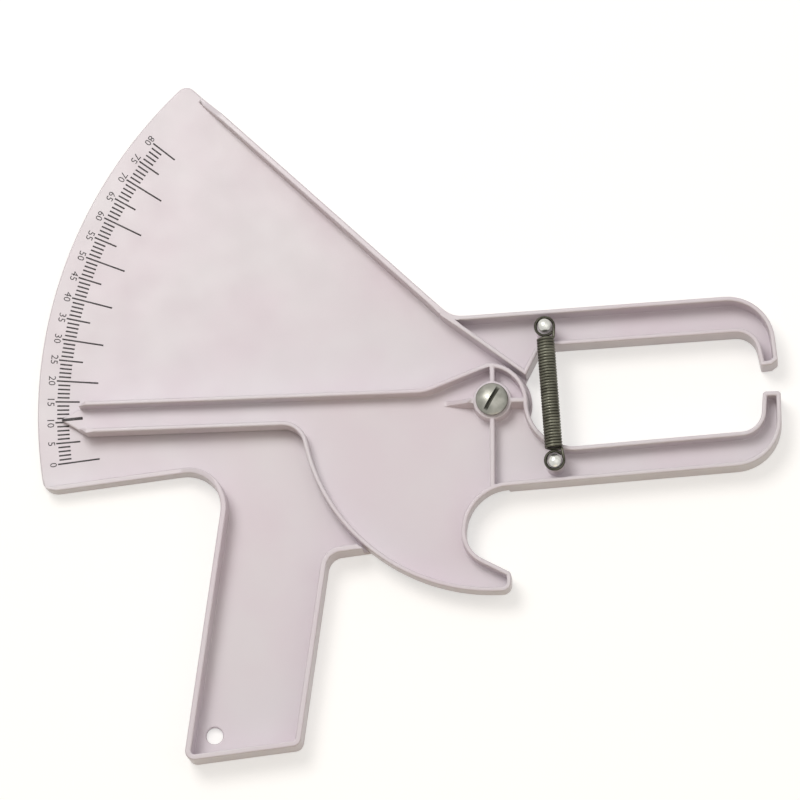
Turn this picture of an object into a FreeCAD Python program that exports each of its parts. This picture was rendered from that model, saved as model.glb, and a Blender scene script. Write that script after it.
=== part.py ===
import FreeCAD, Part
import Sketcher
import math
import os

# Sector-scale skinfold caliper, millimetres and degrees.
# The lever pivot is the Z axis, the flat back of the frame lies on Z = 0, and the jaws point along +X.
# The lever is drawn at its rest reading; its travel is given by the joint, not here.

SIZES = {
    # frame moulding: sector plate and pistol grip
    "PlateThickness": (3.0, "sector plate and floor of the handle"),
    "SectorRadius": (172.9, "pivot to scale edge"),
    "BaseSlope": (7.2, "slope of the sector's lower edge and of the handle's foot"),
    "SectorBaseDrop": (10.8, "pivot to the line of the sector's lower edge"),
    "TopEdgeNormal": (47.1, "direction of the sector's upper edge normal"),
    "TopEdgeDistance": (13.3, "pivot to the line of the sector's upper edge"),
    "SectorTopRound": (4.0, "corner at the end of the scale"),
    "SectorBaseRound": (6.0, "corner at the start of the scale"),
    "ScaleZeroAngle": (6.9, "zero mark below the horizontal"),
    "HandleLean": (8.0, "handle sides from the vertical"),
    "HandleBack": (95.4, "pivot to the line of the handle's back"),
    "HandleFront": (53.0, "pivot to the line of the handle's front"),
    "HandleFoot": (120.2, "pivot to the line of the handle's foot"),
    "HandleDepth": (14.0, "height of the handle's rim above the back"),
    "HandleRim": (2.2, "wall round the handle and along the sector's lower edge"),
    "HandleCornerRound": (3.5, "corners of the foot"),
    "ThumbRound": (14.0, "fillet between sector and handle back"),
    "HornDrop": (49.7, "pivot to the line under the horn"),
    "HornReach": (37.5, "horn tip left of the pivot"),
    "HornHeight": (6.8, "height of the horn's nose"),
    "HornNoseRound": (3.0, "both corners of the horn's nose"),
    "HornRound": (6.0, "fillet under the horn"),
    "GuardSagitta": (8.0, "hollow of the edge between horn and hub"),
    "HubRadius": (14.6, "frame disc behind the lever hub"),
    "HubStart": (-106.0, "direction in which the disc leaves the guard"),
    "HubEnd": (34.0, "direction in which the disc meets the slope up to the arm"),
    "HubSlope": (63.0, "that slope from the horizontal"),
    "HangHoleRadius": (3.15, "hole to hang the caliper by"),
    "HangHoleInset": (8.9, "hang hole centre from the handle's back line"),
    "HangHoleRise": (9.7, "hang hole centre above the foot line"),
    "SectorRimHeight": (8.5, "top of the sector's lower wall above the back"),
    "TopRibWidth": (2.2, "rib along the sector's upper edge"),
    "TopRibStart": (8.5, "top of that rib near the scale"),
    "TopRibRamp": (12.0, "length over which it rises from the plate"),
    "TriggerClearance": (1.3, "handle walls to the trigger's arc"),
    # jaws, both arms mirror each other about the contact face apart from their inner edges
    "JawRadius": (103.5, "pivot to the middle of the contact faces"),
    "JawDepth": (13.0, "height of the jaw arms above the back"),
    "JawTipWidth": (6.6, "length of the contact face and its chamfer"),
    "JawTipLean": (5.0, "lean of the inner side of the tip"),
    "JawOuterHeight": (27.2, "outer edge to the contact line at the tip"),
    "FixedInnerHeight": (13.6, "inner edge of the fixed arm above the contact line at the tip"),
    "MovingInnerHeight": (14.6, "inner edge of the moving arm below the contact line at the tip"),
    "JawSlope": (3.2, "fall of both arm edges towards the tip"),
    "JawOuterBend": (18.0, "outer bend of the arm"),
    "JawInnerBend": (8.0, "inner bend of the arm"),
    "JawChamferRun": (2.6, "chamfer of the upper tip along the face"),
    "JawChamferRise": (1.5, "chamfer of the upper tip along the side"),
    "JawTipRound": (1.3, "corners of the lower tip"),
    "JawRim": (1.7, "rims of the arms and of the lever"),
    "JawFaceAngle": (6.6, "contact face of the fixed jaw above the horizontal"),
    "RestReading": (10.0, "jaw opening drawn here"),
    "ArmWebRise": (1.0, "web of the fixed arm above the sector plate"),
    "ArmRootLeft": (19.5, "start of the arm's channel left of the pivot"),
    "ArmRootRound": (10.0, "fillet between the sector's upper edge and the arm"),
    "ArmCornerRound": (5.0, "fillet between the hub and the arm"),
    "ArmRibDistance": (15.0, "pivot to the near side of the rib beside the hub"),
    "ArmRibNormal": (53.6, "direction of that rib's normal"),
    # lever moulding: pointer, hub, trigger and moving jaw
    "WasherThickness": (0.5, "slip washer under the lever"),
    "WasherPlay": (0.05, "play on each side of the slip washer"),
    "LeverWeb": (2.4, "web of the lever"),
    "BackRecessDepth": (4.0, "recess in the back of the moving arm"),
    "PointerReach": (163.9, "pivot to the pointer tip"),
    "PointerNose": (10.4, "length of the pointer's tapered nose"),
    "PointerUpper": (5.4, "upper edge above the index line"),
    "PointerLower": (6.7, "lower edge below the index line"),
    "NoseRimEnd": (7.3, "the pointer's rims end this far from its tip"),
    "NoseRimTaper": (5.0, "length over which those rims narrow"),
    "PointerNoseRound": (1.5, "corners where the nose begins to taper"),
    "TriggerRadius": (72.8, "pivot to the trigger's outer arc"),
    "TriggerRound": (8.0, "fillet between pointer and trigger"),
    "TriggerToeReach": (6.9, "toe of the trigger right of the pivot"),
    "TriggerToeHeight": (6.8, "height of the toe's end"),
    "TriggerToeLowRound": (3.5, "lower corner of the toe"),
    "TriggerToeTopRound": (2.0, "upper corner of the toe"),
    "NotchDepth": (10.0, "bottom of the finger notch left of the pivot"),
    "NotchToeSlope": (27.0, "slope of the toe's upper side"),
    "NotchLowerRound": (11.0, "finger notch towards the toe"),
    "NotchUpperRound": (17.0, "finger notch towards the jaw"),
    "NotchSplit": (0.3, "part of the notch's straight side left to the lower round"),
    "LeverHubSide": (13.3, "right side of the hub"),
    "LeverHubTop": (14.5, "pivot to the flank behind the hub"),
    "LeverHubTurn": (97.0, "direction in which the hub meets that flank"),
    "LeverHubBulge": (13.4, "pivot to the hub's edge half way between side and flank"),
    "LeverFlankSlope": (23.0, "slope of that flank"),
    "LeverHubRound": (21.0, "hollow between hub and moving arm"),
    "LeverFlankRound": (14.0, "fillet between flank and pointer"),
    "DeepArmRadius": (27.0, "the moving arm is full depth outside this radius"),
    "DeepArmStart": (80.0, "and from this direction below the horizontal"),
    # pivot
    "BossRadius": (7.3, "boss round the pivot on the lever"),
    "PostRadius": (4.7, "pivot post of the frame"),
    "PostFit": (0.05, "running clearance of the lever on the post"),
    "PostEndPlay": (0.15, "post stands this far above the boss"),
    "InsertRadius": (3.4, "threaded insert inside the post"),
    "InsertDepth": (9.0, "length of the threaded insert"),
    "ScrewRadius": (2.5, "pivot screw shank"),
    "ScrewFit": (0.05, "clearance of the shank in the insert"),
    "ScrewLength": (8.6, "shank below the head washer"),
    "ScrewHeadRadius": (6.1, "pan head"),
    "ScrewHeadHeight": (3.3, "pan head"),
    "ScrewHeadSide": (1.3, "straight side of the pan head"),
    "ScrewSlotWidth": (1.5, "driver slot"),
    "ScrewSlotDepth": (1.6, "driver slot"),
    "ScrewSlotAngle": (60.0, "driver slot from the horizontal"),
    "HeadWasherRadius": (5.8, "steel washer under the head"),
    "HeadWasherThickness": (0.7, "steel washer under the head"),
    "SlipWasherRadius": (7.2, "slip washer"),
    "GussetWidth": (1.9, "gussets of the boss"),
    "GussetReach": (18.6, "point of the long gusset left of the pivot"),
    # spring and its posts
    "SpringPostRadius": (33.9, "pivot to each spring post"),
    "UpperPostAngle": (53.9, "upper post from the horizontal"),
    "LowerPostAngle": (46.0, "lower post below the horizontal"),
    "PostBossRadius": (3.4, "boss under each post"),
    "PinRadius": (2.0, "neck of each post"),
    "PinFit": (0.02, "clearance of the neck in its boss"),
    "PinPlay": (0.15, "spring wire to the boss below and the head above"),
    "PinSeat": (8.0, "length of the neck inside the boss"),
    "PinHeadRadius": (2.5, "domed head of each post"),
    "PinHeadHeight": (1.7, "domed head of each post"),
    "DomeBands": (3, "conical bands that make up each dome"),
    "SpringClearance": (0.35, "coil above the rims"),
    "CoilRadius": (3.45, "outside of the coil"),
    "WireDiameter": (1.1, "spring wire"),
    "LoopRadius": (3.5, "mean radius of the end loops"),
    "LoopNeck": (1.2, "loop to coil"),
    "LoopOpening": (35.0, "gap between the loop's end and its neck"),
    "LoopSeat": (0.35, "upper loop shifted towards the coil"),
    "ClosingTravel": (1.8, "room for the loop when the jaws close"),
    "WireSides": (8, "flats round the wire of the end loops"),
    "CoilSides": (12, "flats round each turn of the coil"),
    "StemRadius": (1.2, "stem of the lower hook"),
    "StemLength": (17.0, "stem of the lower hook inside the coil"),
}

Vector = FreeCAD.Vector
ORIGIN = Vector(0, 0, 0)
UP = Vector(0, 0, 1)

# A round takes up to this part of the shorter wall beside it
ROUND_ROOM = 0.98

# Cutting shapes reach this far past the body
MARGIN = 1.0

# Heights above the flat back that several pieces share
LEVER_BOTTOM = "Sizes.PlateThickness + Sizes.WasherThickness + 2 * Sizes.WasherPlay"
POST_TOP = "Sizes.JawDepth + Sizes.PostEndPlay"
HEAD_SEAT = POST_TOP + " + Sizes.HeadWasherThickness"
SPRING_AXIS = "Sizes.JawDepth + Sizes.SpringClearance + Sizes.CoilRadius"
PIN_BOSS_TOP = SPRING_AXIS + " - Sizes.WireDiameter / 2 - Sizes.PinPlay"


def makeSheet(doc):
    sheet = doc.addObject("Spreadsheet::Sheet", "Sizes")
    for row, (alias, (value, note)) in enumerate(SIZES.items(), start=1):
        sheet.set("A%d" % row, alias)
        sheet.set("B%d" % row, str(value))
        sheet.set("C%d" % row, note)
        sheet.setAlias("B%d" % row, alias)
    doc.recompute()
    return {alias: float(sheet.get(alias)) for alias in SIZES}


# ---- plane geometry -------------------------------------------------------------------------------

def polar(radius, degrees):
    angle = math.radians(degrees)
    return Vector(radius * math.cos(angle), radius * math.sin(angle), 0)


def turned(point, degrees):
    length = math.hypot(point.x, point.y)
    return polar(length, math.degrees(math.atan2(point.y, point.x)) + degrees)


def meet(normalA, distanceA, normalB, distanceB):
    """Point where two lines cross, each given by its normal's direction and its distance from the pivot."""
    a = polar(1, normalA)
    b = polar(1, normalB)
    det = a.x * b.y - a.y * b.x
    return Vector((distanceA * b.y - distanceB * a.y) / det, (distanceB * a.x - distanceA * b.x) / det, 0)


def meetCircle(normal, distance, radius, side):
    """Point where a line crosses a circle about the pivot; side is +1 or -1 along the line."""
    along = math.sqrt(radius ** 2 - distance ** 2)
    return polar(distance, normal) + polar(side * along, normal + 90)


def outline(points, arcs):
    """Closed wire through the points; arcs maps a point's index to a point on its arc to the next one."""
    edges = []
    for index, start in enumerate(points):
        end = points[(index + 1) % len(points)]
        if index in arcs:
            edges.append(Part.Arc(start, arcs[index], end).toShape())
        else:
            edges.append(Part.makeLine(start, end))
    return Part.Wire(edges)


def rounded(wire, corners):
    """The wire with each listed corner rounded, by filleting the upright edges of a prism."""
    prism = Part.Face(wire).extrude(UP)
    for point, radius in corners:
        edges = [e for e in prism.Edges if standsAt(e, point)]
        prism = prism.makeFillet(radius, edges)
    return lowestFace(prism).OuterWire


def standsAt(edge, point):
    ends = [v.Point for v in edge.Vertexes]
    upright = len(ends) == 2 and abs(ends[0].z - ends[1].z) > 0.5
    return upright and math.hypot(ends[0].x - point.x, ends[0].y - point.y) < 0.01


def lowestFace(shape):
    return min(shape.Faces, key=lambda face: face.CenterOfMass.z)


def polygon(points):
    return Part.Face(Part.makePolygon(points + [points[0]]))


def limited(radius, before, corner, after):
    """The radius, or less where the walls beside the corner are too short for it."""
    opening = (before - corner).getAngle(after - corner)
    room = min((before - corner).Length, (after - corner).Length) * math.tan(opening / 2)
    return min(radius, ROUND_ROOM * room)


def shared(wire, region):
    return Part.Face(wire).common(region).Faces[0].OuterWire


def inset(wire, distance):
    return wire.makeOffset2D(-distance).Wires


def disc(radius):
    return Part.Face(Part.Wire(Part.makeCircle(radius)))


# ---- features --------------------------------------------------------------------------------------

def makeBody(doc, label):
    body = doc.addObject("PartDesign::Body", label)
    body.Label = label
    return body


def originPlane(body, role):
    return [f for f in body.Origin.OriginFeatures if f.Role == role][0]


def sketchGeometry(edge):
    """A sketch line, arc or circle for an edge in the XY plane."""
    first = edge.valueAt(edge.FirstParameter)
    last = edge.valueAt(edge.LastParameter)
    if edge.Curve.TypeId != "Part::GeomCircle":
        return Part.LineSegment(first, last)
    centre = edge.Curve.Center
    circle = Part.Circle(centre, UP, edge.Curve.Radius)
    if first.distanceToPoint(last) < 1e-6:
        return circle
    middle = edge.valueAt((edge.FirstParameter + edge.LastParameter) / 2)
    angles = [math.atan2(p.y - centre.y, p.x - centre.x) for p in (first, middle, last)]
    turn = 2 * math.pi
    if (angles[1] - angles[0]) % turn < (angles[2] - angles[0]) % turn:
        start, end = angles[0], angles[2]
    else:
        start, end = angles[2], angles[0]
    return Part.ArcOfCircle(circle, start, start + (end - start) % turn)


def addSketch(body, name, wires, height="", role="XY_Plane"):
    sketch = body.newObject("Sketcher::SketchObject", name)
    sketch.AttachmentSupport = [(originPlane(body, role), "")]
    sketch.MapMode = "FlatFace"
    if height:
        sketch.setExpression("AttachmentOffset.Base.z", height)
    for wire in wires:
        for edge in wire.Edges:
            sketch.addGeometry(sketchGeometry(edge), False)
    return sketch


def addCircles(body, name, centre, radii, height=""):
    """A sketch of circles about one point, each radius bound to the sheet."""
    sketch = addSketch(body, name, [], height)
    for index, radius in enumerate(radii):
        sketch.addGeometry(Part.Circle(centre, UP, index + 1.0), False)
        bound = sketch.addConstraint(Sketcher.Constraint("Radius", index, index + 1.0))
        sketch.setExpression("Constraints[%d]" % bound, radius)
    return sketch


def addUprightSketch(body, name, points, degrees, offset=0.0):
    """Closed outline of (along, height) points on an upright plane, whose normal is to the right of along."""
    sketch = body.newObject("Sketcher::SketchObject", name)
    sketch.AttachmentSupport = [(originPlane(body, "XZ_Plane"), "")]
    sketch.MapMode = "FlatFace"
    turn = FreeCAD.Rotation(Vector(0, 1, 0), degrees)
    sketch.AttachmentOffset = FreeCAD.Placement(turn.multVec(Vector(0, 0, offset)), turn)
    corners = [Vector(along, height, 0) for along, height in points]
    for start, end in zip(corners, corners[1:] + corners[:1]):
        sketch.addGeometry(Part.LineSegment(start, end), False)
    return sketch


def addPad(body, name, sketch, length, reverse=False, middle=False):
    pad = body.newObject("PartDesign::Pad", name)
    pad.Profile = sketch
    pad.Reversed = reverse
    pad.Midplane = middle
    pad.setExpression("Length", length)


def addPocket(body, name, sketch, length, reverse=False, middle=False):
    pocket = body.newObject("PartDesign::Pocket", name)
    pocket.Profile = sketch
    pocket.Reversed = reverse
    pocket.Midplane = middle
    pocket.setExpression("Length", length)


def addRevolution(body, name, sketch, axis):
    """Turns the sketch about one of its own axes, H_Axis or V_Axis."""
    revolution = body.newObject("PartDesign::Revolution", name)
    revolution.Profile = sketch
    revolution.ReferenceAxis = (sketch, [axis])
    revolution.Angle = 360


def addShaft(body, name, bottom, sections, domeTop, bands):
    """Turned piece on the Z axis: (radius, top) steps from the bottom up and a dome over the last one."""
    sketch = addSketch(body, name + "Profile", [], role="XZ_Plane")
    corners = [Vector(0, bottom, 0)]
    height = bottom
    for radius, top in sections:
        corners += [Vector(radius, height, 0), Vector(radius, top, 0)]
        height = top
    rim = corners[-1]
    rise = domeTop - rim.y
    bulge = (rim.x ** 2 + rise ** 2) / (2 * rise)
    spread = math.asin(rim.x / bulge)
    for band in range(int(bands) - 1, 0, -1):
        lean = spread * band / bands
        corners.append(Vector(bulge * math.sin(lean), domeTop - bulge * (1 - math.cos(lean)), 0))
    corners.append(Vector(0, corners[-1].y, 0))
    for start, end in zip(corners, corners[1:] + corners[:1]):
        sketch.addGeometry(Part.LineSegment(start, end), False)
    addRevolution(body, name, sketch, "V_Axis")


# ---- outlines --------------------------------------------------------------------------------------

def jawPoints(size, innerHeight, place):
    """Corners of one jaw arm from root to tip, inner then outer side, each passed through place(x, y)."""
    inner = size["JawRadius"] - (size["JawTipWidth"] - size["JawChamferRun"]) / 2
    outer = inner + size["JawTipWidth"]
    fall = math.tan(math.radians(size["JawSlope"]))
    lean = innerHeight * math.tan(math.radians(size["JawTipLean"]))
    return {
        "innerRoot": place(0, innerHeight + fall * inner),
        "innerBend": place(inner - lean, innerHeight),
        "tipInner": place(inner, 0),
        "tipFace": place(outer - size["JawChamferRun"], 0),
        "tipSide": place(outer, size["JawChamferRise"]),
        "tipOuter": place(outer, 0),
        "outerBend": place(outer, size["JawOuterHeight"]),
        "outerRoot": place(0, size["JawOuterHeight"] + fall * outer),
    }


def lineThrough(start, end):
    """Normal direction and distance from the pivot of the line through two points."""
    direction = math.degrees(math.atan2(end.y - start.y, end.x - start.x))
    normal = direction + 90
    return normal, start.dot(polar(1, normal))


def frameOutline(size):
    base = 270 + size["BaseSlope"]
    back = 180 - size["HandleLean"]
    foot = size["HandleFoot"]
    hub = size["HubRadius"]
    scale = size["SectorRadius"]
    face = size["JawFaceAngle"]
    jaw = jawPoints(size, size["FixedInnerHeight"], lambda x, y: turned(Vector(x, y, 0), face))
    topEdge = (size["TopEdgeNormal"], size["TopEdgeDistance"])
    innerEdge = lineThrough(jaw["innerRoot"], jaw["innerBend"])
    outerEdge = lineThrough(jaw["outerRoot"], jaw["outerBend"])
    scaleStart = meetCircle(base, size["SectorBaseDrop"], scale, -1)
    scaleEnd = meetCircle(size["TopEdgeNormal"], size["TopEdgeDistance"], scale, 1)
    thumb = meet(base, size["SectorBaseDrop"], back, size["HandleBack"])
    heel = meet(base, foot, back, size["HandleBack"])
    toe = meet(base, foot, back, size["HandleFront"])
    under = meet(base, size["HornDrop"], back, size["HandleFront"])
    hornTip = meet(base, size["HornDrop"], 180, size["HornReach"])
    hornTop = hornTip + Vector(0, size["HornHeight"], 0)
    hubBack = polar(hub, size["HubStart"])
    hubFront = polar(hub, size["HubEnd"])
    chord = hubBack - hornTop
    hollow = (hornTop + hubBack) / 2 + Vector(-chord.y, chord.x, 0).normalize() * size["GuardSagitta"]
    armCorner = meet(*innerEdge, *lineThrough(hubFront, hubFront + polar(1, size["HubSlope"])))
    root = meet(*topEdge, *outerEdge)
    points = [
        scaleStart, thumb, heel, toe, under, hornTip, hornTop, hubBack, hubFront, armCorner,
        jaw["innerBend"], jaw["tipInner"], jaw["tipFace"], jaw["tipSide"], jaw["outerBend"], root, scaleEnd,
    ]
    hubMiddle = polar(hub, (size["HubStart"] + size["HubEnd"]) / 2)
    scaleMiddle = (scaleStart + scaleEnd).normalize() * scale
    arcs = {6: hollow, 7: hubMiddle, 16: scaleMiddle}
    corners = [
        (scaleStart, size["SectorBaseRound"]),
        (thumb, size["ThumbRound"]),
        (heel, size["HandleCornerRound"]),
        (toe, size["HandleCornerRound"]),
        (under, size["HornRound"]),
        (hornTip, size["HornNoseRound"]),
        (hornTop, size["HornNoseRound"]),
        (armCorner, size["ArmCornerRound"]),
        (jaw["innerBend"], size["JawInnerBend"]),
        (jaw["outerBend"], size["JawOuterBend"]),
        (root, size["ArmRootRound"]),
        (scaleEnd, size["SectorTopRound"]),
    ]
    return rounded(outline(points, arcs), corners)


def leverOutline(size):
    index = pointerLean(size)
    trigger = size["TriggerRadius"]
    lowerEdge = (270 + index, size["PointerLower"])
    upperEdge = (90 + index, size["PointerUpper"])
    shoulder = (180 + index, size["PointerReach"] - size["PointerNose"])
    flank = (90 + size["LeverFlankSlope"], size["LeverHubTop"])
    face = size["JawFaceAngle"] - restAngle(size)
    jaw = jawPoints(size, size["MovingInnerHeight"], lambda x, y: turned(Vector(x, -y, 0), face))
    innerEdge = lineThrough(jaw["innerRoot"], jaw["innerBend"])
    outerEdge = lineThrough(jaw["outerRoot"], jaw["outerBend"])
    toeLow = polar(trigger, -math.degrees(math.acos(size["TriggerToeReach"] / trigger)))
    toeTop = toeLow + Vector(0, size["TriggerToeHeight"], 0)
    notchEdge = (180, size["NotchDepth"])
    notchLow = meet(*notchEdge, *lineThrough(toeTop, toeTop + polar(1, 180 - size["NotchToeSlope"])))
    notchHigh = meet(*notchEdge, *outerEdge)
    hubSide = (0, size["LeverHubSide"])
    hubFlare = meet(*hubSide, *innerEdge)
    hubRight = Vector(size["LeverHubSide"], 0, 0)
    hubTop = polar(size["LeverHubTop"], size["LeverHubTurn"])
    hubMiddle = polar(size["LeverHubBulge"], size["LeverHubTurn"] / 2)
    flankLow = meet(*flank, *upperEdge)
    tip = polar(size["PointerReach"], 180 + index)
    noseLow = meet(*lowerEdge, *shoulder)
    noseHigh = meet(*upperEdge, *shoulder)
    corner = meetCircle(lowerEdge[0], lowerEdge[1], trigger, -1)
    points = [
        tip, noseLow, corner, toeLow, toeTop, notchLow, notchHigh,
        jaw["outerBend"], jaw["tipOuter"], jaw["tipInner"], jaw["innerBend"],
        hubFlare, hubRight, hubTop, flankLow, noseHigh,
    ]
    triggerMiddle = (corner + toeLow).normalize() * trigger
    arcs = {2: triggerMiddle, 12: hubMiddle}
    notchJoin = notchLow + (notchHigh - notchLow) * size["NotchSplit"]
    corners = [
        (corner, size["TriggerRound"]),
        (toeLow, size["TriggerToeLowRound"]),
        (toeTop, size["TriggerToeTopRound"]),
        (notchLow, limited(size["NotchLowerRound"], toeTop, notchLow, notchJoin)),
        (notchHigh, limited(size["NotchUpperRound"], notchJoin, notchHigh, jaw["outerBend"])),
        (jaw["outerBend"], size["JawOuterBend"]),
        (jaw["tipOuter"], size["JawTipRound"]),
        (jaw["tipInner"], size["JawTipRound"]),
        (jaw["innerBend"], size["JawInnerBend"]),
        (hubFlare, limited(size["LeverHubRound"], jaw["innerBend"], hubFlare, hubRight)),
        (flankLow, size["LeverFlankRound"]),
        (noseLow, size["PointerNoseRound"]),
        (noseHigh, size["PointerNoseRound"]),
    ]
    return rounded(outline(points, arcs), corners)


def pointerLean(size):
    """The pointer points this far below the horizontal."""
    return size["ScaleZeroAngle"] - restAngle(size)


def restAngle(size):
    """Turn of the lever from closed jaws to the reading drawn here."""
    return 2 * math.degrees(math.asin(size["RestReading"] / (2 * size["JawRadius"])))


# ---- frame and lever -------------------------------------------------------------------------------

def makeFrame(doc, size):
    """Sector plate, hollow grip and fixed jaw arm in one moulding, with the pivot post and a pin boss."""
    body = makeBody(doc, "frame")
    wire = frameOutline(size)
    addPad(body, "Plate", addSketch(body, "PlateOutline", [wire]), "Sizes.PlateThickness")

    arm = shared(wire, armRegion(size))
    addPad(body, "Arm", addSketch(body, "ArmOutline", [arm]), "Sizes.JawDepth")
    channel = addSketch(body, "ArmChannelOutline", inset(arm, size["JawRim"]), "Sizes.JawDepth")
    addPocket(body, "ArmChannel", channel, "Sizes.JawDepth - Sizes.PlateThickness - Sizes.ArmWebRise")

    addTopRib(body, size)
    addHandleWalls(body, size, wire)

    addPad(body, "PivotPost", addCircles(body, "PostCircle", ORIGIN, ["Sizes.PostRadius"]), POST_TOP)
    insertSeat = addCircles(body, "InsertCircle", ORIGIN, ["Sizes.InsertRadius"], POST_TOP)
    addPocket(body, "InsertSeat", insertSeat, "Sizes.InsertDepth")
    addPinBoss(body, upperPost(size), "0")

    hangHole = addCircles(body, "HangCircle", hangPoint(size), ["Sizes.HangHoleRadius"])
    addPocket(body, "HangHole", hangHole, "Sizes.PlateThickness", reverse=True)
    return body


def armRegion(size):
    """Half plane beyond the rib beside the hub, from the arm's root to the right."""
    rib = size["ArmRibNormal"]
    corner = meet(180, size["ArmRootLeft"], rib, size["ArmRibDistance"])
    far = 2 * size["SectorRadius"]
    right = corner + polar(far, rib - 90)
    return polygon([corner, right, right + polar(far, rib), corner + Vector(0, far, 0)])


def addTopRib(body, size):
    """Rib along the sector's upper edge, which rises from the scale to the arm's root."""
    normal = size["TopEdgeNormal"]
    root = meet(180, size["ArmRootLeft"], normal, size["TopEdgeDistance"])
    rootAlong = root.dot(polar(1, normal + 90))
    scaleAlong = math.sqrt(size["SectorRadius"] ** 2 - size["TopEdgeDistance"] ** 2)
    endAlong = scaleAlong - 2 * size["SectorTopRound"]
    profile = [
        (rootAlong - size["JawRim"], 0),
        (endAlong, 0),
        (endAlong, size["PlateThickness"]),
        (endAlong - size["TopRibRamp"], size["TopRibStart"]),
        (rootAlong, size["JawDepth"]),
        (rootAlong - size["JawRim"], size["JawDepth"]),
    ]
    sketch = addUprightSketch(body, "TopRibProfile", profile, normal + 90, size["TopEdgeDistance"])
    addPad(body, "TopRib", sketch, "Sizes.TopRibWidth", reverse=True)


def addHandleWalls(body, size, wire):
    """Wall along the sector's lower edge and round the handle, which stops short of the trigger's swing."""
    base = 270 + size["BaseSlope"]
    far = 2 * size["SectorRadius"]
    inner = polar(size["SectorBaseDrop"] - size["HandleRim"], base)
    left = inner + polar(far, base - 90)
    right = inner + polar(far, base + 90)
    below = polygon([left, left + polar(far, base), right + polar(far, base), right])
    walls = Part.Face(wire)
    for hollow in inset(wire, size["HandleRim"]):
        walls = walls.cut(Part.Face(hollow))
    walls = walls.common(below).cut(disc(size["TriggerRadius"] + size["TriggerClearance"]))
    addPad(body, "Walls", addSketch(body, "WallOutline", walls.Wires), "Sizes.HandleDepth")

    thumb = meet(base, size["SectorBaseDrop"], 180 - size["HandleLean"], size["HandleBack"])
    turn = math.radians(90 + size["BaseSlope"] + size["HandleLean"])
    tangent = size["ThumbRound"] * math.tan(turn / 2)
    along = polar(1, size["BaseSlope"])
    rampStart = thumb.dot(along) - tangent
    rampEnd = (thumb + polar(tangent, 270 - size["HandleLean"])).dot(along)
    above = size["HandleDepth"] + MARGIN
    profile = [
        (-far / 2, size["SectorRimHeight"]),
        (rampStart, size["SectorRimHeight"]),
        (rampEnd, size["HandleDepth"]),
        (rampEnd, above),
        (-far / 2, above),
    ]
    depth = (thumb + polar(tangent, 270 - size["HandleLean"])).dot(polar(1, base))
    sketch = addUprightSketch(body, "RampProfile", profile, size["BaseSlope"], 0)
    pocket = body.newObject("PartDesign::Pocket", "Ramp")
    pocket.Profile = sketch
    pocket.Reversed = True
    pocket.Length = depth


def addPinBoss(body, centre, bottom):
    """Boss under a spring post, with the blind hole for its neck."""
    boss = addCircles(body, "PinBossCircle", centre, ["Sizes.PostBossRadius"], bottom)
    addPad(body, "PinBoss", boss, PIN_BOSS_TOP + " - (" + bottom + ")")
    hole = addCircles(body, "PinHoleCircle", centre, ["Sizes.PinRadius + Sizes.PinFit"], PIN_BOSS_TOP)
    addPocket(body, "PinHole", hole, "Sizes.PinSeat")


def makeLever(doc, size):
    """Pointer, hub, trigger and moving jaw arm in one moulding, carried by the pivot post."""
    body = makeBody(doc, "lever")
    wire = leverOutline(size)
    depth = "Sizes.JawDepth - (" + LEVER_BOTTOM + ")"
    addPad(body, "Plate", addSketch(body, "PlateOutline", [wire], LEVER_BOTTOM), depth)
    arm = shared(wire, deepArmRegion(size))
    addPad(body, "DeepArm", addSketch(body, "DeepArmOutline", [arm]), "Sizes.JawDepth")

    recess = addSketch(body, "RecessOutline", [recessOutline(size, wire)], "Sizes.JawDepth")
    addPocket(body, "Recess", recess, depth + " - Sizes.LeverWeb")
    backRecess = addSketch(body, "BackRecessOutline", inset(arm, size["JawRim"]))
    addPocket(body, "BackRecess", backRecess, "Sizes.BackRecessDepth", reverse=True)

    boss = addCircles(body, "BossCircle", ORIGIN, ["Sizes.BossRadius"], LEVER_BOTTOM)
    addPad(body, "Boss", boss, depth)
    addGussets(body, size, wire, depth)
    addPinBoss(body, lowerPost(size), "Sizes.BackRecessDepth")
    bore = addCircles(body, "BoreCircle", ORIGIN, ["Sizes.PostRadius + Sizes.PostFit"], "Sizes.JawDepth")
    addPocket(body, "Bore", bore, "Sizes.JawDepth")
    addNoseBevel(body, size)
    return body


def deepArmRegion(size):
    """The part of the lever beyond the hub that the frame never covers."""
    far = 2 * size["JawRadius"]
    start = size["DeepArmStart"]
    wedge = polygon([ORIGIN, polar(far, -start), polar(far, 0), polar(far, start / 2)])
    return wedge.cut(disc(size["DeepArmRadius"]))


def addGussets(body, size, wire, depth):
    """Upright ribs from the boss: up, right and down into the rims, and a sloping one to the left."""
    half = Vector(0, size["GussetWidth"] / 2, 0)
    end = Vector(size["SpringPostRadius"], 0, 0)
    rimMiddle = inset(wire, size["JawRim"] / 2)[0]
    for name, degrees in {"Up": 90, "Right": 0, "Down": -90}.items():
        corners = [turned(p, degrees) for p in (half, -half, end - half, end + half)]
        rib = shared(rimMiddle, polygon(corners))
        sketch = addSketch(body, "Gusset" + name + "Outline", [rib], LEVER_BOTTOM)
        addPad(body, "Gusset" + name, sketch, depth)
    bottom = leverBottom(size)
    webTop = bottom + size["LeverWeb"]
    profile = [
        (0, bottom),
        (size["GussetReach"], bottom),
        (size["GussetReach"], webTop),
        (size["BossRadius"], size["JawDepth"]),
        (0, size["JawDepth"]),
    ]
    sketch = addUprightSketch(body, "GussetLeftProfile", profile, 180)
    addPad(body, "GussetLeft", sketch, "Sizes.GussetWidth", middle=True)


def leverBottom(size):
    return size["PlateThickness"] + size["WasherThickness"] + 2 * size["WasherPlay"]


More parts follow.
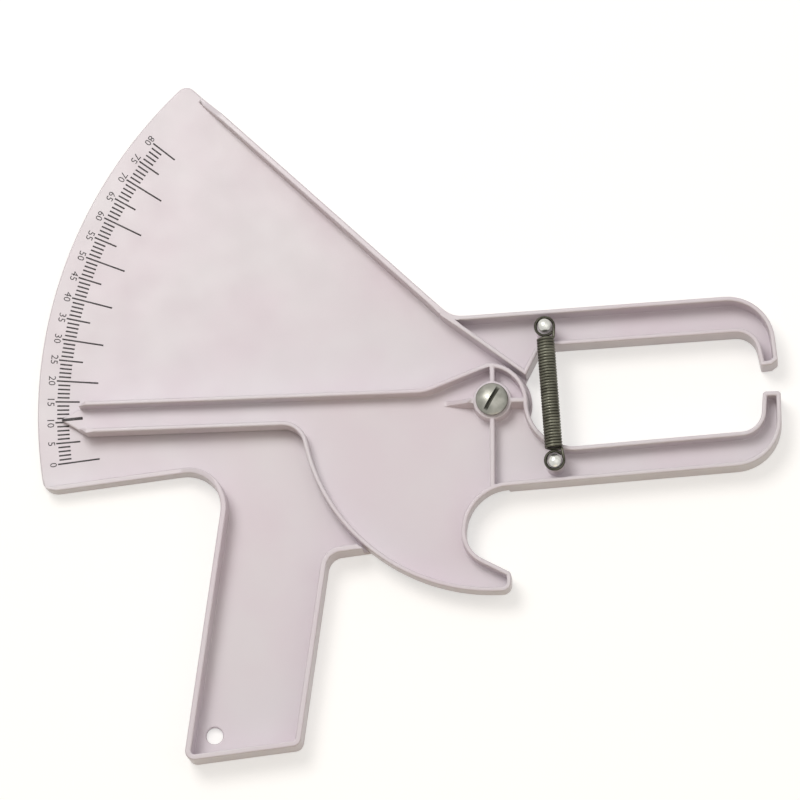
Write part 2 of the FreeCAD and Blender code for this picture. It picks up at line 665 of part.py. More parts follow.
def recessOutline(size, wire):
    """Recess inside the rims. On the nose it opens out, so that the rims narrow to their ends."""
    along = polar(1, 180 + pointerLean(size))
    across = polar(1, 90 + pointerLean(size))
    start = size["PointerReach"] - size["NoseRimEnd"] - size["NoseRimTaper"]
    length = size["NoseRimEnd"] + size["NoseRimTaper"] + MARGIN
    corners = []
    for edge, side in ((size["PointerUpper"], 1), (size["PointerLower"], -1)):
        inner = edge - size["JawRim"]
        end = edge * size["NoseRimEnd"] / size["PointerNose"]
        beyond = inner + (end - inner) * length / size["NoseRimTaper"]
        corners += [(start, side * inner), (start + length, side * beyond)]
    upper, upperEnd, lower, lowerEnd = [along * far + across * aside for far, aside in corners]
    nose = polygon([upper, upperEnd, lowerEnd, lower])
    hollow = Part.Face(inset(wire, size["JawRim"])[0]).extrude(UP).fuse(nose.extrude(UP))
    return lowestFace(hollow.removeSplitter()).OuterWire


def addNoseBevel(body, size):
    """Slopes the rims of the nose down to the web at the pointer's tip."""
    tip = size["PointerReach"]
    tipTop = leverBottom(size) + size["LeverWeb"]
    above = size["JawDepth"] + MARGIN
    profile = [
        (tip + MARGIN, tipTop),
        (tip, tipTop),
        (tip - size["PointerNose"], size["JawDepth"]),
        (tip - size["PointerNose"], above),
        (tip + MARGIN, above),
    ]
    sketch = addUprightSketch(body, "NoseProfile", profile, 180 + pointerLean(size))
    addPocket(body, "NoseBevel", sketch, "4 * Sizes.PointerNose", middle=True)


# ---- pivot -----------------------------------------------------------------------------------------

def makeRing(doc, label, inner, outer, thickness, bottom):
    body = makeBody(doc, label)
    addPad(body, label + "Ring", addCircles(body, label + "Circles", ORIGIN, [inner, outer]), thickness)
    body.setExpression("Placement.Base.z", bottom)
    return body


def makePivotScrew(doc, size):
    """Slotted screw whose head holds the lever on the post."""
    body = makeBody(doc, "pivot_screw")
    sections = [
        (size["ScrewRadius"], 0),
        (size["ScrewHeadRadius"], size["ScrewHeadSide"]),
    ]
    addShaft(body, "Screw", -size["ScrewLength"], sections, size["ScrewHeadHeight"], size["DomeBands"])
    half = Vector(size["ScrewHeadRadius"] + MARGIN, 0, 0)
    side = Vector(0, size["ScrewSlotWidth"] / 2, 0)
    corners = [side - half, -side - half, half - side, half + side]
    corners = [turned(p, size["ScrewSlotAngle"]) for p in corners]
    slot = addSketch(body, "SlotOutline", [polygon(corners).OuterWire], "Sizes.ScrewHeadHeight")
    addPocket(body, "Slot", slot, "Sizes.ScrewSlotDepth")
    body.setExpression("Placement.Base.z", HEAD_SEAT)
    return body


# ---- spring and its posts --------------------------------------------------------------------------

def upperPost(size):
    return polar(size["SpringPostRadius"], size["UpperPostAngle"])


def lowerPost(size):
    return polar(size["SpringPostRadius"], -size["LowerPostAngle"])


def hangPoint(size):
    foot = size["HandleFoot"] - size["HangHoleRise"]
    back = size["HandleBack"] - size["HangHoleInset"]
    return meet(270 + size["BaseSlope"], foot, 180 - size["HandleLean"], back)


def makeSpringPost(doc, size, label, centre):
    """Steel pin with a domed head that keeps a spring loop on its neck."""
    body = makeBody(doc, label)
    neckTop = size["WireDiameter"] + 2 * size["PinPlay"]
    headTop = neckTop + size["PinHeadHeight"]
    sections = [(size["PinRadius"], neckTop), (size["PinHeadRadius"], neckTop + size["PinHeadHeight"] / 4)]
    addShaft(body, label + "Pin", -size["PinSeat"], sections, headTop, size["DomeBands"])
    body.Placement = FreeCAD.Placement(centre, FreeCAD.Rotation())
    body.setExpression("Placement.Base.z", PIN_BOSS_TOP)
    return body


def addLoop(body, size, shift):
    """End loop of the spring: the wire leaves the coil along its axis and bends round the post."""
    radius = size["LoopRadius"]
    bend = size["WireDiameter"]
    centre = Vector(shift, 0, 0)
    bendCentre = centre + Vector(math.sqrt((radius + bend) ** 2 - bend ** 2), -bend, 0)
    touch = centre + (bendCentre - centre) * (radius / (radius + bend))
    first = math.degrees(math.atan2(touch.y, touch.x - shift))
    last = size["LoopOpening"] - 360
    start = size["LoopRadius"] + size["LoopNeck"] + size["WireDiameter"] / 2
    bendStart = Vector(bendCentre.x, 0, 0)
    bendMiddle = bendCentre + polar(bend, (90 + 180 + first) / 2)
    path = addSketch(body, "LoopPath", [])
    path.addGeometry(Part.LineSegment(Vector(start, 0, 0), bendStart), False)
    path.addGeometry(Part.Arc(bendStart, bendMiddle, touch), False)
    loopMiddle = centre + polar(radius, (first + last) / 2)
    path.addGeometry(Part.Arc(touch, loopMiddle, centre + polar(radius, last)), False)
    section = addCrossPolygon(body, "LoopSection", size["WireDiameter"] / 2, size["WireSides"], start)
    loop = body.newObject("PartDesign::AdditivePipe", "Loop")
    loop.Profile = section
    loop.Spine = (path, ["Edge1", "Edge2", "Edge3"])


def springFrame(size, start, end):
    """Placement at one post with X towards the other."""
    direction = math.degrees(math.atan2(end.y - start.y, end.x - start.x))
    return FreeCAD.Placement(start, FreeCAD.Rotation(UP, direction))


def makeSpringCoil(doc, size):
    """Close-wound coil and its upper loop. Each turn is a ring, and the bore is open for the lower hook."""
    body = makeBody(doc, "spring_coil")
    addLoop(body, size, size["LoopSeat"])
    wire = size["WireDiameter"]
    start = size["LoopRadius"] + size["LoopNeck"]
    length = upperPost(size).distanceToPoint(lowerPost(size)) - 2 * start - size["ClosingTravel"]
    turns = round(length / wire)
    pitch = length / turns

    crest = addCrossPolygon(body, "TurnOutline", size["CoilRadius"], size["CoilSides"], start + pitch / 2)
    turn = body.newObject("PartDesign::Pad", "Turn")
    turn.Profile = crest
    turn.SideType = "Two sides"
    turn.Length = turn.Length2 = pitch / 2
    turn.TaperAngle = turn.TaperAngle2 = -math.degrees(math.atan2(wire / 4, pitch / 2))
    row = body.newObject("PartDesign::LinearPattern", "Turns")
    row.Originals = [turn]
    row.Direction = (originPlane(body, "X_Axis"), [""])
    row.Occurrences = turns
    row.Length = (turns - 1) * pitch
    body.Tip = row

    bore = addCrossCircle(body, "BoreCircle", "Sizes.CoilRadius - Sizes.WireDiameter", start + length)
    hollow = body.newObject("PartDesign::Pocket", "Bore")
    hollow.Profile = bore
    hollow.Length = length - wire
    body.Placement = springFrame(size, upperPost(size), lowerPost(size))
    body.setExpression("Placement.Base.z", SPRING_AXIS)
    return body


def makeSpringHook(doc, size):
    """Lower loop of the spring on a stem that runs in the bore of the coil."""
    body = makeBody(doc, "spring_lower_hook")
    addLoop(body, size, 0)
    stem = addCrossCircle(body, "StemSection", "Sizes.StemRadius", size["LoopRadius"] + size["LoopNeck"])
    addPad(body, "Stem", stem, "Sizes.StemLength")
    body.Placement = springFrame(size, lowerPost(size), upperPost(size))
    body.setExpression("Placement.Base.z", SPRING_AXIS)
    return body


def addCrossPolygon(body, name, radius, sides, along):
    """Regular polygon across the spring's axis, this far from the post, with two flats along its plane."""
    step = 360 / sides
    corners = [polar(radius, (index + 0.5) * step) for index in range(int(sides))]
    sketch = addSketch(body, name, [polygon(corners).OuterWire], role="YZ_Plane")
    sketch.AttachmentOffset = FreeCAD.Placement(Vector(0, 0, along), FreeCAD.Rotation())
    return sketch


def addCrossCircle(body, name, radius, along):
    """A circle across the spring's axis, this far from the post."""
    sketch = addSketch(body, name, [], role="YZ_Plane")
    sketch.AttachmentOffset = FreeCAD.Placement(Vector(0, 0, along), FreeCAD.Rotation())
    sketch.addGeometry(Part.Circle(ORIGIN, UP, 1.0), False)
    bound = sketch.addConstraint(Sketcher.Constraint("Radius", 0, 1.0))
    sketch.setExpression("Constraints[%d]" % bound, radius)
    return sketch


# ---- document --------------------------------------------------------------------------------------

def makeParts(doc, size):
    washerBottom = "Sizes.PlateThickness + Sizes.WasherPlay"
    insertBottom = POST_TOP + " - Sizes.InsertDepth"
    shankBore = "Sizes.ScrewRadius + Sizes.ScrewFit"
    postBore = "Sizes.PostRadius + Sizes.PostFit"
    return [
        makeFrame(doc, size),
        makeLever(doc, size),
        makeRing(doc, "slip_washer", postBore, "Sizes.SlipWasherRadius", "Sizes.WasherThickness", washerBottom),
        makeRing(doc, "threaded_insert", shankBore, "Sizes.InsertRadius", "Sizes.InsertDepth", insertBottom),
        makeRing(doc, "head_washer", shankBore, "Sizes.HeadWasherRadius", "Sizes.HeadWasherThickness", POST_TOP),
        makePivotScrew(doc, size),
        makeSpringPost(doc, size, "upper_spring_post", upperPost(size)),
        makeSpringPost(doc, size, "lower_spring_post", lowerPost(size)),
        makeSpringCoil(doc, size),
        makeSpringHook(doc, size),
    ]


def checkDocument(doc, parts):
    failed = [o.Name for o in doc.Objects if "Invalid" in o.State or "Error" in o.State]
    failed += [p.Label for p in parts if p.Shape.isNull() or not p.Shape.isValid() or not p.Shape.Solids]
    if failed:
        raise RuntimeError("failed: " + ", ".join(failed))


def main():
    doc = FreeCAD.newDocument("SkinfoldCaliper")
    size = makeSheet(doc)
    parts = makeParts(doc, size)
    doc.recompute()
    checkDocument(doc, parts)
    os.makedirs("parts", exist_ok=True)
    for part in parts:
        part.Shape.exportStep("parts/%s.step" % part.Label)
        print("%-20s %2d solid %10.1f mm3" % (part.Label, len(part.Shape.Solids), part.Shape.Volume))


if __name__ == "__main__":
    main()
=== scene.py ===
import math

import bmesh
import bpy
from mathutils import Matrix, Vector
from mathutils.geometry import intersect_point_line


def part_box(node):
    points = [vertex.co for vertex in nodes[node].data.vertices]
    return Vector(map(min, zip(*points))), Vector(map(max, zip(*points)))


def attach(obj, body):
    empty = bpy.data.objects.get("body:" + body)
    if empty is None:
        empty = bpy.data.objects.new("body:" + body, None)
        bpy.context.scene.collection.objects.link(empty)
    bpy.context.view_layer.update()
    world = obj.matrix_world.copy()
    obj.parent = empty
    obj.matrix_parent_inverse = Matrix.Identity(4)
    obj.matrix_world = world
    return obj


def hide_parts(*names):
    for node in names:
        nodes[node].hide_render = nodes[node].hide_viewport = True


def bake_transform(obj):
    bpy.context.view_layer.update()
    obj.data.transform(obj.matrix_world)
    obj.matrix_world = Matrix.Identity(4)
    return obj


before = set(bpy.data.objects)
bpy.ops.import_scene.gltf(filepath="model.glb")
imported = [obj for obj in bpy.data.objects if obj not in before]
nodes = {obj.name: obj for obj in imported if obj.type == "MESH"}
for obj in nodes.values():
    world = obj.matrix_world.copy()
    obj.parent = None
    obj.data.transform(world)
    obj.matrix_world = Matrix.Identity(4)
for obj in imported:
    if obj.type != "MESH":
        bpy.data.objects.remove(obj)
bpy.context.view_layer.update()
mm = 0.001
weldDistance = 0.001 * mm
origin = Vector((0, 0, 0))
upward = Vector((0, 0, 1))
print("frame loaded with", len(nodes), "nodes")


def polar(radius, degrees, height=0.0):
    angle = math.radians(degrees)
    return Vector((radius * math.cos(angle), radius * math.sin(angle), height))


def addNode(tree, kind, settings=None, **inputs):
    node = tree.nodes.new("ShaderNode" + kind)
    for name, value in (settings or {}).items():
        setattr(node, name, value)
    for name, value in inputs.items():
        node.inputs[name].default_value = value
    return node


def addRange(tree, taken, given):
    names = ("From Min", "From Max", "To Min", "To Max")
    return addNode(tree, "MapRange", **dict(zip(names, (*taken, *given))))


# Sockets of a Mix node that mixes colours
colourMix = {"factor": 0, "first": 6, "second": 7, "result": 2}
finishPattern = {
    "patchDetail": 3.0,
    "patchEdges": (0.35, 0.65),
    "driftDetail": 4.0,
    "driftRange": (0.3, 0.7),
    "grainDetail": 2.0,
}


def makeFinish(name, look):
    # Two tones in soft patches, a roughness that drifts and a fine grain as bump. Where a look has
    # a painted shade, the attribute of that name says how far each point of the piece is darkened
    # as painted shade
    material = bpy.data.materials.new(name)
    material.use_nodes = True
    tree = material.node_tree
    shader = tree.nodes["Principled BSDF"]
    for socket, value in look["shader"].items():
        shader.inputs[socket].default_value = value
    place = addNode(tree, "TexCoord")

    pattern = finishPattern
    patches = addNode(tree, "TexNoise", Scale=look["patchScale"], Detail=pattern["patchDetail"])
    tint = addNode(tree, "ValToRGB")
    tones = (look["darkTone"], look["paleTone"])
    for stop, position, tone in zip(tint.color_ramp.elements, pattern["patchEdges"], tones):
        stop.position = position
        stop.color = (*tone, 1)
    drift = addNode(tree, "TexNoise", Scale=look["driftScale"], Detail=pattern["driftDetail"])
    gloss = addRange(tree, pattern["driftRange"], look["roughness"])
    grain = addNode(tree, "TexNoise", Scale=look["grainScale"], Detail=pattern["grainDetail"])
    bump = addNode(tree, "Bump", Strength=look["grainStrength"], Distance=look["grainDepth"] * mm)

    for texture in (patches, drift, grain):
        tree.links.new(place.outputs["Object"], texture.inputs["Vector"])
    tree.links.new(patches.outputs["Fac"], tint.inputs["Fac"])
    colour = tint.outputs["Color"]
    # painted shade: the base colour is multiplied towards a dark tone by the attribute
    if "paintedShade" in look:
        paintedShade = addNode(tree, "Attribute", {"attribute_name": look["paintedShade"]})
        darken = addNode(tree, "Mix", {"data_type": "RGBA", "blend_type": "MULTIPLY"})
        darken.inputs[colourMix["second"]].default_value = (*look["paintedShadeTone"], 1)
        tree.links.new(paintedShade.outputs["Fac"], darken.inputs[colourMix["factor"]])
        tree.links.new(colour, darken.inputs[colourMix["first"]])
        colour = darken.outputs[colourMix["result"]]
    tree.links.new(colour, shader.inputs["Base Color"])
    tree.links.new(drift.outputs["Fac"], gloss.inputs["Value"])
    tree.links.new(gloss.outputs["Result"], shader.inputs["Roughness"])
    tree.links.new(grain.outputs["Fac"], bump.inputs["Height"])
    tree.links.new(bump.outputs["Normal"], shader.inputs["Normal"])
    return material


whitePlastic = {
    "paleTone": (0.708, 0.660, 0.692),
    "darkTone": (0.695, 0.616, 0.664),
    "patchScale": 28.0,
    "driftScale": 90.0,
    "roughness": (0.29, 0.38),
    "grainScale": 1400.0,
    "grainStrength": 0.12,
    "grainDepth": 0.05,
    "shader": {"Metallic": 0.0, "IOR": 1.5},
}
brightSteel = {
    "paleTone": (0.66, 0.66, 0.62),
    "darkTone": (0.50, 0.50, 0.47),
    "patchScale": 350.0,
    "driftScale": 600.0,
    "roughness": (0.22, 0.36),
    "grainScale": 5000.0,
    "grainStrength": 0.10,
    "grainDepth": 0.02,
    "shader": {"Metallic": 1.0},
}
screwSteel = {
    "paleTone": (0.34, 0.335, 0.30),
    "darkTone": (0.25, 0.25, 0.22),
    "patchScale": 300.0,
    "driftScale": 500.0,
    "roughness": (0.34, 0.46),
    "grainScale": 4000.0,
    "grainStrength": 0.15,
    "grainDepth": 0.02,
    # painted shade: the slot is darkened the deeper it lies below the dome
    "paintedShade": "slotPaintedShade",
    "paintedShadeTone": (0.20, 0.20, 0.185),
    "shader": {"Metallic": 1.0},
}
springWire = {
    "paleTone": (0.17, 0.17, 0.13),
    "darkTone": (0.09, 0.088, 0.065),
    "patchScale": 260.0,
    "driftScale": 500.0,
    "roughness": (0.30, 0.48),
    "grainScale": 5000.0,
    "grainStrength": 0.15,
    "grainDepth": 0.02,
    # painted shade: the end loops of the wire are darkened round the posts
    "paintedShade": "loopPaintedShade",
    "paintedShadeTone": (0.30, 0.29, 0.27),
    "shader": {"Metallic": 0.7},
}
printedInk = {
    "paleTone": (0.085, 0.076, 0.079),
    "darkTone": (0.050, 0.044, 0.046),
    "patchScale": 900.0,
    "driftScale": 300.0,
    "roughness": (0.5, 0.65),
    "grainScale": 6000.0,
    "grainStrength": 0.1,
    "grainDepth": 0.01,
    "shader": {"Metallic": 0.0},
}
turnedBrass = {
    "paleTone": (0.70, 0.50, 0.22),
    "darkTone": (0.58, 0.40, 0.17),
    "patchScale": 300.0,
    "driftScale": 500.0,
    "roughness": (0.28, 0.42),
    "grainScale": 4000.0,
    "grainStrength": 0.12,
    "grainDepth": 0.02,
    "shader": {"Metallic": 1.0},
}
naturalNylon = {
    "paleTone": (0.70, 0.68, 0.60),
    "darkTone": (0.63, 0.61, 0.53),
    "patchScale": 200.0,
    "driftScale": 300.0,
    "roughness": (0.40, 0.52),
    "grainScale": 3000.0,
    "grainStrength": 0.1,
    "grainDepth": 0.02,
    "shader": {"Metallic": 0.0, "IOR": 1.53},
}
plasticFinish = makeFinish("whitePlastic", whitePlastic)
steelFinish = makeFinish("brightSteel", brightSteel)
screwFinish = makeFinish("screwSteel", screwSteel)
wireFinish = makeFinish("springWire", springWire)
inkFinish = makeFinish("printedInk", printedInk)
brassFinish = makeFinish("turnedBrass", turnedBrass)
nylonFinish = makeFinish("naturalNylon", naturalNylon)
print("finishes made")


def addPiece(name, bm, finish):
    bmesh.ops.recalc_face_normals(bm, faces=bm.faces)
    mesh = bpy.data.meshes.new(name)
    bm.to_mesh(mesh)
    bm.free()
    mesh.materials.append(finish)
    mesh.shade_smooth()
    piece = bpy.data.objects.new(name, mesh)
    bpy.context.scene.collection.objects.link(piece)
    return piece


mouldedEdges = {
    "outer": 0.6,       # outer edges, millimetres
    "inner": 0.5,       # corners of the recesses
    "segments": 3,
    "sharp": 32,        # edges that turn further than this are rounded, degrees
    "flat": 0.4,        # faces that turn less than this become one, degrees
    "merge": 0.06,      # points closer than this become one
    "stretch": 3.0,     # longest run of edge that is rounded, or left, as one
    "facet": 9.0,       # an edge shorter than this is part of an arc about the pivot
    "even": 0.01,       # if both its ends lie as far from the pivot, within this
    "folded": 110,      # faces that turn further than this have run over each other
    "near": 0.7,        # edges this close to such a place are rounded less
    "keep": 0.5,        # share of its rounding that such an edge keeps, each time
    "least": 0.15,      # it stays as moulded once less than this is left
    "small": 6,         # faces of at most so many corners are looked at
    "tries": 6,
}


def edgesOf(geometry):
    return [item for item in geometry if isinstance(item, bmesh.types.BMEdge)]


def pointsOf(geometry):
    return [item for item in geometry if isinstance(item, bmesh.types.BMVert)]


def bentEdges(bm, degrees):
    limit = math.radians(degrees)
    return [edge for edge in bm.edges if edge.is_manifold and edge.calc_face_angle() > limit]


def foldedPlaces(piece):
    bpy.context.view_layer.update()
    shape = piece.evaluated_get(bpy.context.evaluated_depsgraph_get())
    bm = bmesh.new()
    bm.from_mesh(shape.to_mesh())
    shape.to_mesh_clear()
    small = [face for face in bm.faces if len(face.verts) <= mouldedEdges["small"]]
    bmesh.ops.triangulate(bm, faces=small)
    folded = bentEdges(bm, mouldedEdges["folded"])
    places = [(edge.verts[0].co + edge.verts[1].co) / 2 for edge in folded]
    bm.free()
    return places


def roundLess(piece, places):
    mesh = piece.data
    weights = mesh.attributes["bevel_weight_edge"].data
    for edge in mesh.edges:
        start, end = [mesh.vertices[index].co for index in edge.vertices]
        for place in places:
            share = intersect_point_line(place, start, end)[1]
            nearest = start.lerp(end, min(max(share, 0), 1))
            if (nearest - place).length < mouldedEdges["near"] * mm:
                weights[edge.index].value *= mouldedEdges["keep"]
                break
        if 0 < weights[edge.index].value < mouldedEdges["least"]:
            weights[edge.index].value = 0
            edge.use_edge_sharp = True
    mesh.update()


def splitEdge(bm, edge):
    # New points on a short edge whose ends lie equally far from the pivot move out to the arc
    length = edge.calc_length()
    cuts = int(length / (mouldedEdges["stretch"] * mm))
    reaches = [vertex.co.xy.length for vertex in edge.verts]
    onArc = (
        length < mouldedEdges["facet"] * mm
        and abs(reaches[0] - reaches[1]) < mouldedEdges["even"] * mm
    )
    if cuts:
        made = bmesh.ops.subdivide_edges(bm, edges=[edge], cuts=cuts)
        if onArc:
            for vertex in pointsOf(made["geom_inner"]):
                vertex.co.xy *= reaches[0] / vertex.co.xy.length


def roundedCopy(node, name):
    # The moulding with its edges rounded, the outer ones further than the inner ones
    bm = bmesh.new()
    bm.from_mesh(nodes[node].data)
    bmesh.ops.remove_doubles(bm, verts=bm.verts, dist=mouldedEdges["merge"] * mm)
    bmesh.ops.dissolve_limit(
        bm, angle_limit=math.radians(mouldedEdges["flat"]), verts=bm.verts, edges=bm.edges,
    )
    for edge in bentEdges(bm, mouldedEdges["sharp"]):
        splitEdge(bm, edge)
    weight = bm.edges.layers.float.new("bevel_weight_edge")
    for edge in bentEdges(bm, mouldedEdges["sharp"]):
        edge[weight] = 1.0 if edge.is_convex else mouldedEdges["inner"] / mouldedEdges["outer"]
    piece = addPiece(name, bm, plasticFinish)
    bevel = piece.modifiers.new("edges", "BEVEL")
    bevel.limit_method = "WEIGHT"
    bevel.width = mouldedEdges["outer"] * mm
    bevel.segments = mouldedEdges["segments"]
    bevel.use_clamp_overlap = False
    bevel.loop_slide = False
    for _ in range(mouldedEdges["tries"]):
        places = foldedPlaces(piece)
        print(name, "rounded, with", len(places), "places too fine for it")
        if not places:
            break
        roundLess(piece, places)
    shading = piece.modifiers.new("shading", "WEIGHTED_NORMAL")
    shading.keep_sharp = True
    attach(piece, node)
    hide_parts(node)


roundedCopy("frame", "frameMoulding")
roundedCopy("lever", "leverMoulding")
print("mouldings rounded")

gussetDraft = {
    "side": -0.85,      # just inside the lower side of both level gussets, millimetres
    "foot": 5.9,        # just inside the web
    "rise": 6.2,
    "lean": 1.3,
    # Both ends of each wedge along X, with the share of the full size there
    "left": ((-7.0, 1.0), (-18.5, 0.02)),
    "right": ((7.0, 1.0), (12.0, 1.0)),
}


def makeDrafts():
    # The lower sides of the two level gussets lean out towards the foot
    draft = gussetDraft
    bm = bmesh.new()
    for ends in (draft["left"], draft["right"]):
        corners = []
        for along, share in ends:
            foot = Vector((along, draft["side"], draft["foot"]))
            top = foot + upward * draft["rise"] * share
            corners += [foot, top, foot - Vector((0, draft["lean"] * share, 0))]
        bmesh.ops.convex_hull(bm, input=[bm.verts.new(corner * mm) for corner in corners])
    for edge in bm.edges:
        edge.smooth = False
    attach(addPiece("gussetDrafts", bm, plasticFinish), "lever")


makeDrafts()

for node, finish in (
    ("slip_washer", nylonFinish),
    ("threaded_insert", brassFinish),
    ("head_washer", steelFinish),
):
    nodes[node].material_slots[0].material = finish


def turnedPiece(profile, sides):
    # Spins (radius, height) points round the vertical axis
    bm = bmesh.new()
    line = [bm.verts.new((radius * mm, 0, height * mm)) for radius, height in profile]
    edges = [bm.edges.new(pair) for pair in zip(line, line[1:])]
    bmesh.ops.spin(
        bm, geom=line + edges, cent=origin, axis=upward, dvec=origin,
        angle=2 * math.pi, steps=sides, use_merge=True,
    )
    bmesh.ops.remove_doubles(bm, verts=bm.verts, dist=weldDistance)
    return bm


def domeBulge(radius, rimHeight, topHeight):
    rise = topHeight - rimHeight
    return (radius ** 2 + rise ** 2) / (2 * rise)


def domePoints(radius, rimHeight, topHeight, count):
    bulge = domeBulge(radius, rimHeight, topHeight)
    spread = math.asin(radius / bulge)
    leans = [spread * (1 - step / count) for step in range(count + 1)]
    return [(bulge * math.sin(lean), topHeight - bulge * (1 - math.cos(lean))) for lean in leans]


springPin = {
    "neck": 2.0,        # radius, millimetres
    "neckBottom": 8.1,  # above the flat back
    "headBottom": 17.5,
    "head": 2.5,        # radius
    "rim": 0.42,        # upright part of the head
    "top": 19.2,
    "domeSteps": 8,
    "sides": 40,
    "rounding": 0.12,
    "segments": 3,
    "sharp": 30,        # degrees
}


def makePin(node, name, body):
    lowest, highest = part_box(node)
    middle = (lowest + highest) / 2
    rimTop = springPin["headBottom"] + springPin["rim"]
    profile = [
        (0, springPin["neckBottom"]),
        (springPin["neck"], springPin["neckBottom"]),
        (springPin["neck"], springPin["headBottom"]),
        (springPin["head"], springPin["headBottom"]),
    ]
    profile += domePoints(springPin["head"], rimTop, springPin["top"], springPin["domeSteps"])
    bm = turnedPiece(profile, springPin["sides"])
    bmesh.ops.translate(bm, verts=bm.verts, vec=(middle.x, middle.y, 0))
    pin = addPiece(name, bm, steelFinish)
    bevel = pin.modifiers.new("edges", "BEVEL")
    bevel.angle_limit = math.radians(springPin["sharp"])
    bevel.width = springPin["rounding"] * mm
    bevel.segments = springPin["segments"]
    bevel.harden_normals = True
    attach(pin, body)
    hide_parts(node)


makePin("upper_spring_post", "upperSpringPin", "frame")
makePin("lower_spring_post", "lowerSpringPin", "lever")

pivotScrew = {
    "seat": 13.85,      # underside of the head above the flat back, millimetres
    "shank": 2.5,       # radius
    "shankLength": 8.6,
    "head": 6.1,        # radius
    "side": 1.3,        # upright part of the head
    "height": 3.3,
    "slotWidth": 1.5,
    "slotDepth": 2.4,   # in the middle; the floor of the slot rises to the dome at both ends
    "slotCurve": 12.9,
    "slotSides": 120,
    "slotAngle": 60,
    "paintedShadeReach": 5.5,  # the painted shade stops short of the rounded rim
    "paintedShadeDepth": 0.7,  # the painted shade is full from this far below the dome
    "domeSteps": 10,
    "sides": 64,
    "rounding": 0.25,
    "segments": 3,
    "sharp": 35,        # degrees
}


def shadeSlot(mesh):
    # Painted shade in the slot: the deeper below the dome, the darker
    seat, side, height = [pivotScrew[size] for size in ("seat", "side", "height")]
    bulge = domeBulge(pivotScrew["head"], seat + side, seat + height)
    paintedShade = mesh.attributes.new(screwSteel["paintedShade"], "FLOAT", "POINT")
    for vertex in mesh.vertices:
        reach = vertex.co.xy.length / mm
        level = vertex.co.z / mm
        if reach < pivotScrew["paintedShadeReach"] and level > seat + pivotScrew["rounding"]:
            depth = seat + height - bulge + math.sqrt(bulge ** 2 - reach ** 2) - level
            paintedShade.data[vertex.index].value = min(max(depth / pivotScrew["paintedShadeDepth"], 0), 1)


def makeScrew():
    seat = pivotScrew["seat"]
    profile = [
        (0, seat - pivotScrew["shankLength"]),
        (pivotScrew["shank"], seat - pivotScrew["shankLength"]),
        (pivotScrew["shank"], seat),
        (pivotScrew["head"], seat),
    ]
    side = seat + pivotScrew["side"]
    top = seat + pivotScrew["height"]
    profile += domePoints(pivotScrew["head"], side, top, pivotScrew["domeSteps"])
    screw = addPiece("pivotScrew", turnedPiece(profile, pivotScrew["sides"]), screwFinish)

    slot = bmesh.new()
    curve = pivotScrew["slotCurve"]
    place = upward * (top - pivotScrew["slotDepth"] + curve) * mm
    turn = (
        Matrix.Rotation(math.radians(pivotScrew["slotAngle"]), 4, "Z")
        @ Matrix.Rotation(math.pi / 2, 4, "X")
    )
    bmesh.ops.create_cone(
        slot, cap_ends=True, segments=pivotScrew["slotSides"],
        radius1=curve * mm, radius2=curve * mm, depth=pivotScrew["slotWidth"] * mm,
        matrix=Matrix.Translation(place) @ turn,
    )
    cutter = addPiece("slotCutter", slot, screwFinish)
    bevel = screw.modifiers.new("edges", "BEVEL")
    bevel.angle_limit = math.radians(pivotScrew["sharp"])
    bevel.width = pivotScrew["rounding"] * mm
    bevel.segments = pivotScrew["segments"]
    cut = screw.modifiers.new("slot", "BOOLEAN")
    cut.object = cutter
    bpy.context.view_layer.update()
    graph = bpy.context.evaluated_depsgraph_get()
    slotted = bpy.data.meshes.new_from_object(screw.evaluated_get(graph))
    screw.modifiers.clear()
    screw.data = slotted
    slotted.set_sharp_from_angle(angle=math.radians(pivotScrew["sharp"]))
    shadeSlot(slotted)
    bpy.data.objects.remove(cutter)
    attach(screw, "frame")
    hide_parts("pivot_screw")


makeScrew()
print("screw and pins turned")


returnSpring = {
    "axisHeight": 16.8,  # above the flat back, millimetres
    "wire": 1.06,        # diameter
    "coil": 2.9,         # mean radius
    "turns": 38,
    "coilStart": 5.0,    # first turn from the post
    "loop": 3.5,         # mean radius of the end loops
    "loopShift": 0.3,    # the pull draws each loop towards the coil
    "loopSweep": 330,
    "exitAngle": 84,
    "liftAngle": 15,     # the wire has climbed this far round when the coil begins
    "wireSides": 10,
    "stepsPerTurn": 24,
    "loopSteps": 34,
    "bendSteps": 8,
}


def turnWire(bm, ring, centre, axis, degrees, steps, advance=0.0):
    grown = bmesh.ops.spin(
        bm, geom=ring, cent=centre * mm, axis=axis, dvec=axis.normalized() * (advance * mm / steps),
        angle=math.radians(degrees), steps=steps, use_merge=False,
    )
    return grown["geom_last"]


def bendWire(bm, ring, start, heading, toward, radius):
    axis = heading.cross(toward)
    centre = start + axis.cross(heading).normalized() * radius
    degrees = math.degrees(heading.angle(toward))
    return turnWire(bm, ring, centre, axis, degrees, returnSpring["bendSteps"])


def pushWire(bm, ring, travel):
    front = bmesh.ops.extrude_edge_only(bm, edges=edgesOf(ring))["geom"]
    moved = pointsOf(front)
    bmesh.ops.translate(bm, verts=moved, vec=travel * mm)
    return moved + [edge for edge in edgesOf(front) if all(end in moved for end in edge.verts)]


